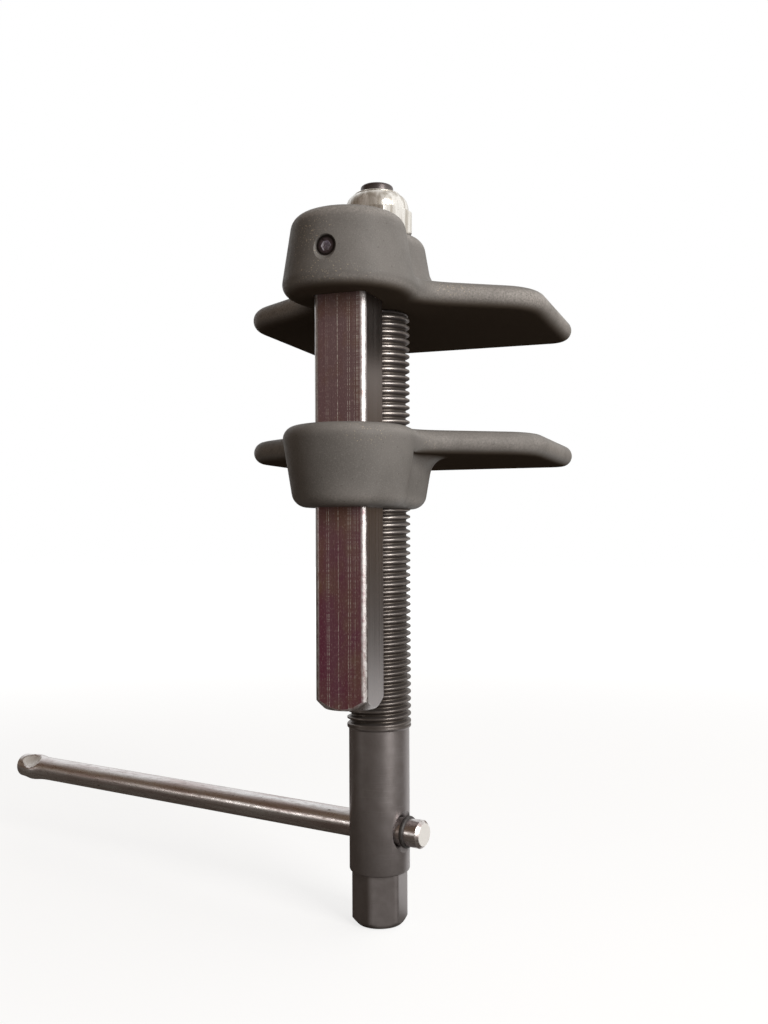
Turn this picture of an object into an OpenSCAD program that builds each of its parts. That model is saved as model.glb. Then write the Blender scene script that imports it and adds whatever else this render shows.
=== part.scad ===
// Brake caliper piston tool: a screw press with two forged jaws.
// A square guide bar is fixed in the upper jaw and keeps the lower jaw in line.
// The spindle turns in the upper jaw and drives the lower jaw along the bar.
// Origin: centre of the spindle's drive end. Z runs along the spindle to its lock nut.
// The jaw plates reach to +Y, and the guide bar stands at -Y.

/* [Spindle] */
// Outside diameter of the drive thread
thread_d = 22; // [18:0.5:24]
// Pitch of the drive thread
thread_pitch = 2.5; // [1.5:0.25:3]
// Height of the thread's lower end
thread_start = 66.8; // [56:0.2:90]
// Diameter of the plain shank below the thread
shank_d = 20.8; // [18:0.1:21.5]
// Width across the flats of the drive hexagon
hex_af = 17; // [13:0.5:19]
// Length of the drive hexagon
hex_len = 18; // [12:1:24]
// Diameter that the hexagon's corners are turned down to
hex_corner_d = 19.2; // [15:0.1:20.5]
// Turn of the hexagon from the handle's axis, in degrees
hex_turn = 11; // [0:1:59]
// Diameter of the stud that the lock nut is on
stud_d = 14; // [10:1:16]
// Diameter of the plain point on the end of the stud
point_d = 11.2; // [7:0.2:13]
// Length of the plain point
point_len = 4; // [2:0.5:6]
// Length of the point that stands out of the lock nut
point_out = 3; // [1:0.5:6]
// Chamfer on the turned edges of the spindle
turned_chamfer = 0.8; // [0.3:0.1:1.5]

/* [Jaws] */
// Height of the upper jaw's inner face above the drive end
seat_z = 208.7; // [190:0.1:240]
// Opening between the inner faces of the two jaws
opening = 41.1; // [5:0.1:90]
// Height of the boss from the inner face
boss_h = 25.8; // [22:0.2:34]
// Draft of the forged sides, in degrees
draft = 9; // [3:0.5:11]
// Radius of the boss around the guide bar, at the inner face
bar_boss_r = 21.9; // [20:0.1:26]
// Radius of the boss around the spindle, at the inner face
spindle_boss_r = 20; // [18:0.2:23]
// Radius of the hollow waist between the two round bosses, at the inner face
waist_r = 12; // [8:0.5:20]
// Radius of the boss's outer rim
rim_r = 5; // [3:1:5]
// Radius of the fillet where the boss rises from the plate
fillet_r = 4; // [2:0.5:6]
// Thickness of the plate, whose edge is a full round
plate_t = 8; // [6:0.5:9]
// Half of the width of the plate
plate_half_w = 55; // [46:0.5:60]
// Distance from the spindle's axis to the back edge of the plate
plate_back = 78.5; // [60:0.5:90]
// Distance from the spindle's axis back to the centres of the plate's rounded front corners
front_corner_y = 19.8; // [12:0.1:30]
// Radius of the plate's front corners
front_corner_r = 20; // [10:0.5:28]
// Radius of the plate's back corners
back_corner_r = 9; // [6:0.5:16]
// Distance from the plate's middle to the front edge's inner end, beside the boss
gusset_x = 20; // [18:0.5:24]

/* [Guide bar] */
// Side of the square guide bar
bar_w = 17.5; // [15:0.5:20]
// Chamfer along the corners of the bar
bar_corner = 1.3; // [0.5:0.1:2.5]
// Distance between the axes of the guide bar and the spindle
bar_offset = 27; // [25:0.5:32]
// Height of the bar's lower end
bar_bottom = 77.8; // [70:0.2:100]
// Radius of the flat left on the bar's turned lower end
bar_end_r = 8.4; // [5:0.2:9]
// Depth of the bar's top end below the top of the upper jaw
bar_sunk = 1; // [0.5:0.5:4]

/* [Set screw] */
// Diameter of the set screw that fixes the bar
screw_d = 6; // [4:1:8]
// Length of the set screw
screw_len = 10; // [8:1:11]
// Width across the flats of its socket
socket_af = 3; // [2:0.5:4]
// Depth of its socket
socket_depth = 4; // [2:0.5:6]
// Depth of the screw's axis below the top of the upper jaw
screw_down = 13.5; // [10:0.1:16]
// Width of the countersink around the screw hole
screw_sink = 0.9; // [0.3:0.1:1.5]

/* [Lock nut] */
// Width across the flats of the lock nut
nut_af = 22; // [19:1:24]
// Height of the lock nut
nut_h = 15.2; // [14.6:0.2:18]
// Height of the nut's hexagon, below its round collar
nut_hex_h = 9; // [7:0.2:12]
// Diameter of the round collar
collar_d = 21.2; // [18:0.2:22]
// Radius of the collar's rim
collar_rim_r = 5; // [1:0.2:5]
// Outside diameter of the nylon ring in the collar
insert_d = 16.4; // [15.4:0.2:16.8]
// Height of the nylon ring
insert_h = 3; // [2:0.2:4]
// Thickness of the collar's lip over the nylon ring
insert_lip = 1.5; // [1.3:0.1:2]

/* [Handle] */
// Diameter of the sliding bar
handle_d = 9.5; // [8:0.5:11]
// Length of the bar from the spindle's axis to the pinched end
handle_long = 188.5; // [120:0.5:240]
// Length of the bar from the spindle's axis to the plain end
handle_short = 18; // [16:0.2:40]
// Height of the bar's axis above the drive end
handle_z = 32.3; // [26:0.1:45]
// Turn of the plain end from +X about the spindle, in degrees
handle_turn = -13.6; // [-180:0.2:180]
// Chamfer on the bar's ends
handle_chamfer = 1; // [0.4:0.1:2]
// Length of the pinched dents at the far end
pinch_len = 10.5; // [9:0.5:16]
// Thickness left between the two dents
pinch_t = 5.6; // [4:0.2:8]
// Distance from the bar's tip to the middle of the dents
pinch_in = 8.5; // [7:0.5:14]
// Bulge of the bar's sides beside the dents
pinch_bulge = 0.9; // [0.6:0.1:1.4]
// Turn of the dents about the bar's axis, from upright, in degrees
pinch_turn = 38; // [-90:1:90]
// Thickness of the rubber stop ring
ring_t = 1.7; // [1.5:0.1:2.8]
// Depth of the ring's groove in the bar
groove_depth = 1; // [0.4:0.1:1.2]

/* [Fits] */
// Clearance on each side of the guide bar in the lower jaw
slide_gap = 0.3; // [0.1:0.05:0.5]
// Clearance on each side of the guide bar in the upper jaw
seat_gap = 0.05; // [0.02:0.01:0.2]
// Clearance around turned and threaded fits
turn_gap = 0.08; // [0.02:0.01:0.1]
// Clearance along the spindle at each face of the upper jaw
end_gap = 0.3; // [0.1:0.05:0.5]
// Clearance around the handle in its cross hole
handle_gap = 0.3; // [0.1:0.05:0.5]

/* [Hidden] */
$fn = 96;

// Length by which cutters run past the faces they cut
past = 1;
// Depth by which the fillet's ring cuts into the faces that it joins
fillet_bite = 0.15;
// Depth by which the hollow waist cuts into the two round bosses
waist_bite = 0.1;
edge_r = plate_t / 2;
shank_r = shank_d / 2;

// Heights along the spindle
lower_face_z = seat_z - opening;
nut_z = seat_z + boss_h + end_gap;
nut_top = nut_z + nut_h;
stud_top = nut_top + point_out;
shoulder_z = seat_z - end_gap;

// Drive thread: a metric profile, whose turns are drawn as rings without the lead
thread_r = thread_d / 2;
thread_step = thread_r - shank_r;
crest_w = thread_pitch / 8;
root_w = thread_pitch / 4;
flank_w = (thread_pitch - crest_w - root_w) / 2;
root_r = thread_r - flank_w / tan(30);
thread_first = thread_start + thread_step + crest_w;
thread_turns = floor((shoulder_z - turned_chamfer - thread_first) / thread_pitch);

// The bosses stand on the guide bar's axis and on the spindle's axis
bar_axis = [0, -bar_offset];
spindle_axis = [0, 0];

// Centre of the hollow waist: its circle meets both boss circles from outside
waist_reach_bar = bar_boss_r + waist_r - waist_bite;
waist_reach_spindle = spindle_boss_r + waist_r - waist_bite;
waist_y = (waist_reach_bar ^ 2 - waist_reach_spindle ^ 2 - bar_offset ^ 2) / (2 * bar_offset);
waist_x = sqrt(waist_reach_spindle ^ 2 - waist_y ^ 2);
waist_c = [waist_x, waist_y];

// Right half of the plate: gusset, slanted front edge, front corner, side, back corner and back edge.
// The directions are unit vectors with exact decimals, so that neighbouring pieces share whole faces
front_dir = [0.8432, 0.5376];
front_out = [0.5376, -0.8432];
gusset_dir = [0.352, 0.936];
// Length of the gusset's edge, which ends inside the boss
gusset_len = 14;
side_out = [1, 0];
back_out = [0, 1];
front_c = [plate_half_w - front_corner_r, front_corner_y];
back_c = [plate_half_w - back_corner_r, plate_back - back_corner_r];

// Stop ring: its groove keeps it clear of the shank by the handle's clearance
groove_r = handle_d / 2 - groove_depth;
ring_x = shank_r + handle_gap + ring_t / 2;

// Half section of a drafted round boss with radius r at its foot and rounded at its foot and its rim
module boss_section(r) {
    foot_x = r - edge_r * (1 + sin(draft)) / cos(draft);
    rim_x = r - boss_h * tan(draft) - rim_r * (1 - sin(draft)) / cos(draft);
    side = [cos(draft), sin(draft)];
    foot = [foot_x, edge_r];
    rim = [rim_x, boss_h - rim_r];
    polygon([
        [0, 0], [foot_x, 0], foot + edge_r * side,
        rim + rim_r * side, [rim_x, boss_h], [0, boss_h]
    ]);
    translate(foot) circle(edge_r);
    translate(rim) circle(rim_r);
}

// Half section of the cutter that hollows the waist, with the hollow's axis at the left
module waist_section() {
    foot_x = waist_r + edge_r * (1 + sin(draft)) / cos(draft);
    rim_x = waist_r + boss_h * tan(draft) + rim_r * (1 - sin(draft)) / cos(draft);
    side = [-cos(draft), sin(draft)];
    foot = [foot_x, edge_r];
    rim = [rim_x, boss_h - rim_r];
    difference() {
        polygon([
            [0, -past], [foot_x, -past], [foot_x, 0], foot + edge_r * side,
            rim + rim_r * side, [rim_x, boss_h], [rim_x, boss_h + past], [0, boss_h + past]
        ]);
        translate(foot) circle(edge_r);
        translate(rim) circle(rim_r);
    }
}

// Both round bosses and the waist between them.
// All sides have the same draft, so the outline shrinks evenly from level to level
module boss() {
    translate(bar_axis) rotate_extrude() boss_section(bar_boss_r);
    rotate_extrude() boss_section(spindle_boss_r);
    difference() {
        linear_extrude(boss_h) polygon([bar_axis, waist_c, spindle_axis, [-waist_x, waist_y]]);
        for (side = [0, 1])
            mirror([side, 0, 0])
                translate(waist_c) rotate_extrude() waist_section();
    }
}

// Half round of the plate's edge, its flat side on the Y axis of the section
module edge_section() {
    intersection() {
        translate([0, edge_r]) circle(edge_r);
        square([edge_r, plate_t]);
    }
}

// Half-round edge of the given length, from point p backwards along the unit vector dir.
// Its flat side is on the line where the flat faces end
module edge(p, dir, len) {
    translate(p)
        rotate(atan2(dir[1], dir[0]) - 90)
            rotate([90, 0, 0])
                linear_extrude(len) edge_section();
}

// Rounded corner of the plate about centre c, from the edge with outward normal n1 to the one with n2
module corner(c, r, n1, n2) {
    intersection() {
        translate(c)
            rotate_extrude() {
                square([r - edge_r, plate_t]);
                translate([r - edge_r, 0]) edge_section();
            }
        linear_extrude(plate_t) polygon([c, c + 2 * r * n1, c + 2 * r * (n1 + n2), c + 2 * r * n2]);
    }
}

// Points on the right half where the flat faces end, and the flat area they enclose
front_end = front_c + (front_corner_r - edge_r) * front_out;
// The front edge's length is a whole number of half millimetres
front_len = round(2 * (front_end[0] - gusset_x) / front_dir[0]) / 2;
front_start = front_end - front_len * front_dir;
gusset_start = front_start - gusset_len * gusset_dir;
side_start = front_c + (front_corner_r - edge_r) * side_out;
side_end = back_c + (back_corner_r - edge_r) * side_out;
back_start = back_c + (back_corner_r - edge_r) * back_out;
module flat_area() {
    polygon([
        bar_axis, gusset_start, front_start, front_end, front_c,
        side_start, side_end, back_c, back_start, [0, back_start[1]]
    ]);
}

module half_plate() {
    linear_extrude(plate_t) flat_area();
    edge(front_start, gusset_dir, gusset_len);
    edge(front_end, front_dir, front_len);
    corner(front_c, front_corner_r, front_out, side_out);
    edge(side_end, back_out, side_end[1] - side_start[1]);
    corner(back_c, back_corner_r, side_out, back_out);
    edge([0, back_start[1]], -side_out, back_start[0]);
}

// Fillet at the foot of the spindle's boss on the plate's outer face: a ring that bites a little into both.
// It runs out on a slope at each side, where the boss narrows to the waist
module boss_fillet() {
    ball_z = plate_t + fillet_r - fillet_bite;
    ball_x = spindle_boss_r - ball_z * tan(draft) + (fillet_r - fillet_bite) / cos(draft);
    run_out_y = waist_y * spindle_boss_r / waist_reach_spindle;
    reach = ball_x + past;
    intersection() {
        rotate_extrude()
            difference() {
                translate([0, edge_r]) square([ball_x, ball_z - edge_r]);
                translate([ball_x, ball_z]) circle(fillet_r);
            }
        translate([-reach, 0, 0])
            rotate([90, 0, 90])
                linear_extrude(2 * reach)
                    polygon([
                        [run_out_y, 0], [reach, 0], [reach, boss_h],
                        [run_out_y + boss_h - plate_t, boss_h], [run_out_y, plate_t]
                    ]);
    }
}

// Forged jaw with its inner face at z = 0 and its boss upwards, still without holes
module jaw_blank() {
    boss();
    for (side = [0, 1])
        mirror([side, 0, 0]) half_plate();
    boss_fillet();
}

// Square through hole for the guide bar, with a clearance on each side
module bar_hole(gap) {
    hole_w = bar_w + 2 * gap;
    translate([-hole_w / 2, -bar_offset - hole_w / 2, -past])
        cube([hole_w, hole_w, boss_h + 2 * past]);
}

// Height of the set screw above the inner face, and the boss's radius at that height
screw_z = boss_h - screw_down;
screw_face = bar_boss_r - screw_z * tan(draft);

module screw_hole() {
    hole_r = screw_d / 2 + turn_gap;
    translate([0, -bar_offset, screw_z])
        rotate([90, 0, 0]) {
            cylinder(r = hole_r, h = bar_boss_r + past);
            translate([0, 0, screw_face - screw_sink])
                cylinder(r1 = hole_r, r2 = hole_r + screw_sink + past, h = screw_sink + past);
        }
}

module upper_jaw() {
    color("#5a544f")
        translate([0, 0, seat_z])
            difference() {
                jaw_blank();
                bar_hole(seat_gap);
                screw_hole();
                translate([0, 0, -past]) cylinder(r = stud_d / 2 + turn_gap, h = boss_h + 2 * past);
            }
}

module lower_jaw() {
    bore_r = thread_d / 2 + turn_gap;
    mouth_h = turned_chamfer + past;
    color("#5a544f")
        translate([0, 0, lower_face_z])
            mirror([0, 0, 1])
                difference() {
                    jaw_blank();
                    bar_hole(slide_gap);
                    translate([0, 0, -past]) cylinder(r = bore_r, h = boss_h + 2 * past);
                    // Both mouths of the threaded bore are chamfered
                    for (end = [0, 1])
                        translate([0, 0, end * boss_h])
                            mirror([0, 0, end])
                                translate([0, 0, -past])
                                    cylinder(r1 = bore_r + mouth_h, r2 = bore_r, h = mouth_h);
                }
}

module guide_bar() {
    half = bar_w / 2;
    inner = half - bar_corner;
    bar_len = seat_z + boss_h - bar_sunk - bar_bottom;
    color("#8a8088")
        translate([0, -bar_offset, bar_bottom])
            intersection() {
                linear_extrude(bar_len)
                    polygon([
                        [inner, -half], [half, -inner], [half, inner], [inner, half],
                        [-inner, half], [-half, inner], [-half, -inner], [-inner, -half]
                    ]);
                // The lower end is turned to a 45 degree point, which leaves an arc on each flat
                cylinder(r1 = bar_end_r, r2 = bar_end_r + bar_len, h = bar_len);
            }
}

module bar_set_screw() {
    color("#1c1c1f")
        translate([0, -bar_offset - bar_w / 2, seat_z + screw_z])
            rotate([90, 0, 0])
                difference() {
                    cylinder(d = screw_d, h = screw_len);
                    translate([0, 0, screw_len - socket_depth])
                        cylinder(d = socket_af / cos(30), h = socket_depth + past, $fn = 6);
                }
}

// Section of one groove of the thread that starts at height z: flank, root, flank and the end of the crest
function thread_groove(z) = [
    [thread_r, z], [root_r, z + flank_w],
    [root_r, z + flank_w + root_w], [thread_r, z + 2 * flank_w + root_w]
];

module spindle() {
    hex_corner_r = hex_corner_d / 2;
    stud_r = stud_d / 2;
    point_r = point_d / 2;
    point_z = stud_top - point_len;
    hole_r = handle_d / 2 + handle_gap;
    hex_top = hex_len + past;
    hex_end_r = hex_af / 2 - turned_chamfer;
    color("#4a4747")
        difference() {
            union() {
                // Drive hexagon with turned corners and a turned end
                intersection() {
                    rotate(handle_turn + hex_turn + 30)
                        cylinder(d = hex_af / cos(30), h = hex_top, $fn = 6);
                    rotate_extrude()
                        polygon([
                            [0, 0], [hex_end_r, 0], [hex_corner_r, hex_corner_r - hex_end_r],
                            [hex_corner_r, hex_top], [0, hex_top]
                        ]);
                }
                // Shank, thread, shoulder and stud, turned in one piece
                rotate_extrude()
                    polygon([
                        [0, hex_len],
                        [shank_r - turned_chamfer, hex_len], [shank_r, hex_len + turned_chamfer],
                        [shank_r, thread_start], [thread_r, thread_start + thread_step],
                        for (i = [0 : thread_turns - 1])
                            each thread_groove(thread_first + i * thread_pitch),
                        [thread_r, shoulder_z - turned_chamfer], [thread_r - turned_chamfer, shoulder_z],
                        [stud_r, shoulder_z], [stud_r, point_z - (stud_r - point_r)], [point_r, point_z],
                        [point_r, stud_top - turned_chamfer], [point_r - turned_chamfer, stud_top],
                        [0, stud_top]
                    ]);
            }
            // Cross hole for the handle, with both mouths countersunk
            translate([0, 0, handle_z])
                rotate([0, 90, handle_turn]) {
                    cylinder(r = hole_r, h = shank_d + 2 * past, center = true);
                    for (end = [0, 1])
                        mirror([0, 0, end])
                            translate([0, 0, shank_r - turned_chamfer - hole_r ^ 2 / shank_d])
                                cylinder(r1 = hole_r, r2 = hole_r + shank_r, h = shank_r);
                }
        }
}

module lock_nut() {
    bore_r = stud_d / 2 + turn_gap;
    corner_r = nut_af / 2 / cos(30);
    bevel = corner_r - nut_af / 2;
    rim_x = collar_d / 2 - collar_rim_r;
    pocket_z = nut_h - insert_lip - insert_h;
    color("#c9c8c2")
        translate([0, 0, nut_z])
            difference() {
                union() {
                    intersection() {
                        cylinder(r = corner_r, h = nut_hex_h, $fn = 6);
                        rotate_extrude()
                            polygon([
                                [0, 0], [nut_af / 2, 0], [corner_r, bevel * tan(30)],
                                [corner_r, nut_hex_h - bevel * tan(30)], [nut_af / 2, nut_hex_h],
                                [0, nut_hex_h]
                            ]);
                    }
                    rotate_extrude() {
                        square([rim_x, nut_h]);
                        square([collar_d / 2, nut_h - collar_rim_r]);
                        translate([rim_x, nut_h - collar_rim_r]) circle(collar_rim_r);
                    }
                }
                translate([0, 0, -past]) cylinder(r = bore_r, h = nut_h + 2 * past);
                translate([0, 0, pocket_z]) cylinder(d = insert_d, h = insert_h);
            }
}

module lock_nut_insert() {
    color("#b9c3cf")
        translate([0, 0, nut_top - insert_lip - insert_h])
            difference() {
                cylinder(d = insert_d, h = insert_h);
                translate([0, 0, -past]) cylinder(r = stud_d / 2 + turn_gap, h = insert_h + 2 * past);
            }
}

// Sliding bar along X, its plain end at +X
module handle_blank() {
    bar_r = handle_d / 2;
    pinch_x = pinch_in - handle_long;
    // A ball that cuts a dent of the given length down to half of the thickness that is left
    dent_depth = bar_r - pinch_t / 2;
    dent_r = (pinch_len ^ 2 / 4 + dent_depth ^ 2) / (2 * dent_depth);
    difference() {
        union() {
            translate([-handle_long, 0, 0])
                rotate([0, 90, 0])
                    rotate_extrude()
                        polygon([
                            [0, 0], [bar_r - handle_chamfer, 0], [bar_r, handle_chamfer],
                            [bar_r, handle_long + handle_short - handle_chamfer],
                            [bar_r - handle_chamfer, handle_long + handle_short],
                            [0, handle_long + handle_short]
                        ]);
            // Metal pushed out sideways by the pinch, which keeps the bar in its hole
            rotate([pinch_turn, 0, 0])
                for (side = [-1, 1])
                    translate([pinch_x, side * pinch_bulge, 0]) sphere(bar_r);
        }
        rotate([pinch_turn, 0, 0])
            for (side = [-1, 1])
                translate([pinch_x, 0, side * (pinch_t / 2 + dent_r)]) sphere(dent_r);
        // Groove for the stop ring
        translate([ring_x, 0, 0])
            rotate([0, 90, 0])
                rotate_extrude() translate([groove_r + ring_t / 2, 0]) circle(ring_t / 2);
    }
}

module handle_bar() {
    color("#9b9592")
        translate([0, 0, handle_z]) rotate(handle_turn) handle_blank();
}

module handle_ring() {
    color("#2b2b2c")
        translate([0, 0, handle_z])
            rotate([0, 90, handle_turn])
                translate([0, 0, ring_x])
                    rotate_extrude() translate([groove_r + ring_t / 2, 0]) circle(ring_t / 2);
}

upper_jaw();
lower_jaw();
guide_bar();
bar_set_screw();
spindle();
lock_nut();
lock_nut_insert();
handle_bar();
handle_ring();
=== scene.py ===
# %% [markdown]
# Brake caliper piston tool
# Two forged jaws sit on a square guide bar, and a threaded spindle with a sliding T-bar moves one of
# them. The solids come from the CAD frame. This script gives them the forged skin, the cut thread and
# the finishes of the real tool, and lights and frames it. Lengths of pieces are in millimetres, and MM
# turns them into metres where a mesh is made. The studio is in metres.

# %% Load the CAD frame
import math
import bmesh
import bpy
import numpy as np
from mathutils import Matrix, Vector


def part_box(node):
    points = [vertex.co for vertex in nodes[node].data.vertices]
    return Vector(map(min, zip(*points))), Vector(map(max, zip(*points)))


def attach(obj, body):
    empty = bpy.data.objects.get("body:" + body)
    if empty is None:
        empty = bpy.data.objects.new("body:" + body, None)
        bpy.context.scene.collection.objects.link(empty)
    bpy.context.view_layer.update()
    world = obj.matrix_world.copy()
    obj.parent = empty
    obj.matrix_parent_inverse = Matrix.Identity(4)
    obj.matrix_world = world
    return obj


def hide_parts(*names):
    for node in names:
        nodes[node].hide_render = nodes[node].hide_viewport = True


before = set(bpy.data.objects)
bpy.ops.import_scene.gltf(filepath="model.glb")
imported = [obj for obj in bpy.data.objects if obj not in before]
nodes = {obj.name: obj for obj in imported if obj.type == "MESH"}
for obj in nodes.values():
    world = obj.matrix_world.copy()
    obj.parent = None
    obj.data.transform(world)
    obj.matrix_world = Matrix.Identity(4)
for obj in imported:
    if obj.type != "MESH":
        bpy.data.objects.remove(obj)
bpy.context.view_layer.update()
scene = bpy.context.scene
MM = 0.001
print("CAD nodes:", sorted(nodes))

# %% [markdown]
# Places from the frame
# A new piece has to sit exactly where the CAD puts the solid that it stands for, so the main heights
# and widths are read from the boxes of the CAD nodes. Smaller sizes are named where they are first
# needed. X runs to the right of the tool, Y to its back and Z up along the spindle.

# %% Places from the frame
X, Y, Z = range(3)


def span(node, axis):
    """Lowest and highest coordinate of a CAD node, in millimetres to the nearest 0.05."""
    return [round(20 * corner[axis] / MM) / 20 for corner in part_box(node)]


SEAT_Z, BOSS_TOP = span("upper_jaw", Z)
BOSS_H = round(BOSS_TOP - SEAT_Z, 2)
LOW_Z = span("lower_jaw", Z)[1]
HALF_W = span("upper_jaw", X)[1]
BACK = span("upper_jaw", Y)[1]
BAR_HALF = span("guide_bar", X)[1]
BAR_Y = span("guide_bar", Y)[0] + BAR_HALF
BAR_LOW, BAR_TOP = span("guide_bar", Z)
NUT_Z = span("lock_nut", Z)[0]
STUD_TOP = span("spindle", Z)[1]
print("faces of the jaws:", SEAT_Z, LOW_Z, "boss:", BOSS_H, "plate:", HALF_W, BACK)
print("guide bar:", BAR_HALF, BAR_Y, BAR_LOW, BAR_TOP, "nut:", NUT_Z, "stud:", STUD_TOP)

# %% [markdown]
# Surfaces on a grid
# Every new piece is a surface on a grid: two numbers say where a point is on the grid, and a formula
# says where it is in space. The helper turns such a grid into a mesh, joins the points that fall on
# each other (seams and poles), turns the faces outwards and keeps a crease on the sharp edges.

# %% Grid helper
JOIN = 2e-6
CREASE = 32


def grid_faces(rows, cols):
    """Quads between neighbouring points of a grid, as indices into the flat point list."""
    i, j = np.meshgrid(np.arange(rows - 1), np.arange(cols - 1), indexing="ij")
    a = (i * cols + j).ravel()
    return np.stack([a, a + 1, a + cols + 1, a + cols], axis=1)


def tidy_mesh(mesh, crease):
    """Joins points that fall on each other, turns faces outwards and creases sharp edges."""
    b = bmesh.new()
    b.from_mesh(mesh)
    bmesh.ops.remove_doubles(b, verts=b.verts, dist=JOIN)
    bmesh.ops.dissolve_degenerate(b, dist=JOIN / 20, edges=b.edges)
    bmesh.ops.recalc_face_normals(b, faces=b.faces)
    b.to_mesh(mesh)
    b.free()
    mesh.polygons.foreach_set("use_smooth", np.ones(len(mesh.polygons), bool))
    mesh.set_sharp_from_angle(angle=math.radians(crease))
    mesh.update()


def surface(name, grids, crease=CREASE):
    """Object made of grids of points, each rows x cols x 3 in millimetres."""
    points = []
    faces = []
    base = 0
    for g in grids:
        points.append(g.reshape(-1, 3) * MM)
        faces.append(grid_faces(*g.shape[:2]) + base)
        base += g.shape[0] * g.shape[1]
    mesh = bpy.data.meshes.new(name)
    mesh.from_pydata(np.concatenate(points).tolist(), [], np.concatenate(faces).tolist())
    tidy_mesh(mesh, crease)
    piece = bpy.data.objects.new(name, mesh)
    scene.collection.objects.link(piece)
    return piece


def report(piece):
    """Prints how many faces a piece has, and how many edges without two faces: 0 is a closed skin."""
    b = bmesh.new()
    b.from_mesh(piece.data)
    n = sum(len(e.link_faces) != 2 for e in b.edges)
    b.free()
    print(piece.name, "faces:", len(piece.data.polygons), "open edges:", n)


def smooth_max(a, b, k):
    """Larger of a and b, with a rounded step of width k where they are nearly equal."""
    h = np.maximum(k - np.abs(a - b), 0.0)
    return np.maximum(a, b) + h * h / (4.0 * k)


def smooth_min(a, b, k):
    """Smaller of a and b, rounded in the same way."""
    return -smooth_max(-a, -b, k)


# %% [markdown]
# Holes
# Holes are drilled after the skin is made, as in the workshop: a cutter with the hole's shape is taken
# away from the piece. A hole left out of the grid would make every row bend around it. The cutters are
# turned grids that are thrown away, so that the finished piece is one plain mesh without modifiers.

# %% Hole helper
def rings(rows, angles):
    """Rings around the Z axis from rows of (radius, height); a radius may change with the angle."""
    r = np.array([np.broadcast_to(row[0], angles.shape) for row in rows])
    z = np.array([row[1] for row in rows], float)[:, None] + 0 * angles
    return np.stack([r * np.cos(angles), r * np.sin(angles), z], axis=2)


def lathe(rows, sides=64):
    """Closed grid of a turned shape: rows of (radius, height), carried once around the Z axis."""
    return rings(rows, np.linspace(0, 2 * np.pi, sides + 1))


def post(radius, low, high):
    """Rows of a straight cutter between two heights."""
    return [(0, low), (radius, low), (radius, high), (0, high)]


def bevelled_plug(radius, low, high, bevel):
    """Round cutter that widens by bevel in a cone of 45 degrees below low and above high."""
    wide = radius + bevel
    foot = [(0, low - bevel), (wide, low - bevel), (radius, low)]
    head = [(radius, high), (wide, high + bevel), (0, high + bevel)]
    return lathe(foot + head)


def placed(grid, turn=np.eye(3), move=(0, 0, 0)):
    """Grid turned by a 3 x 3 matrix and then moved."""
    return grid @ np.asarray(turn).T + np.asarray(move, float)


def drill(piece, cutters, crease=CREASE):
    """Takes the cutters away from the piece and leaves one tidy mesh."""
    for grid in cutters:
        tool = surface("cutter", [grid])
        hole = piece.modifiers.new("hole", "BOOLEAN")
        hole.operation = "DIFFERENCE"
        hole.solver = "EXACT"
        hole.object = tool
        graph = bpy.context.evaluated_depsgraph_get()
        cut = bpy.data.meshes.new_from_object(piece.evaluated_get(graph))
        piece.modifiers.clear()
        old = piece.data
        piece.data = cut
        bpy.data.meshes.remove(old)
        bpy.data.objects.remove(tool)
    tidy_mesh(piece.data, crease)


# %% [markdown]
# The forged jaws
# Each jaw is one drop forging: a flat plate with a full-round edge, and a tall boss of two drafted
# round columns with a soft waist. A union of simple solids would leave hard lines where they meet. Here
# the jaw is one continuous skin along rays from a point inside the boss, the pole, so that the plate
# flows into the boss as metal does in a die. This cell finds how far each ray runs to the outlines of
# boss and plate, drawn inwards by any inset: draft and rounds are insets that change with the height.

# %% Outlines of the boss and the plate
DRAFT = math.radians(9)
EDGE_R = 4.0
RIM_R = 5.0
FILLET_R = 6.0
BAR_C = np.array([0, BAR_Y])
BAR_R = 21.9
SPINDLE_C = np.zeros(2)
SPINDLE_R = 20.0
WAIST_R = 12.0
FRONT_R = 20.0
FRONT_C = np.array([HALF_W - FRONT_R, 19.8])
FRONT_OUT = np.array([0.5376, -0.8432])
SIDE_OUT = np.array([1.0, 0])
BACK_OUT = np.array([0, 1.0])
BACK_R = 9.0
BACK_C = np.array([HALF_W - BACK_R, BACK - BACK_R])
POLE = np.array([0, -12.6])


def circle_roots(d, c, r):
    """Near and far distance from the pole along unit rays d to a circle, not a number where it is missed."""
    f = POLE - c
    b = d @ f
    with np.errstate(invalid="ignore"):
        root = np.sqrt(b * b - f @ f + r * r)
    return -b - root, -b + root


def waist_centre():
    """Centre of the waist's circle, which touches both columns from outside."""
    to_spindle = (WAIST_R + SPINDLE_R) ** 2
    to_bar = (WAIST_R + BAR_R) ** 2
    y = (to_bar - to_spindle - BAR_Y**2) / (-2 * BAR_Y)
    return np.array([math.sqrt(to_spindle - y * y), y])


def boss_reach(d, inset):
    """Distance along rays d to the boss outline drawn inwards: bar circle, waist, spindle circle."""
    waist = waist_centre()
    ends = []
    for c, r in ((BAR_C, BAR_R - inset), (SPINDLE_C, SPINDLE_R - inset)):
        touch = c + r * (waist - c) / np.linalg.norm(waist - c) - POLE
        ends.append(math.atan2(touch[1], touch[0]))
    angle = np.arctan2(d[:, 1], d[:, 0])
    bar_side = circle_roots(d, BAR_C, BAR_R - inset)[1]
    spindle_side = circle_roots(d, SPINDLE_C, SPINDLE_R - inset)[1]
    hollow = circle_roots(d, waist, WAIST_R + inset)[0]
    return np.where(angle < ends[0], bar_side, np.where(angle > ends[1], spindle_side, hollow))


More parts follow.
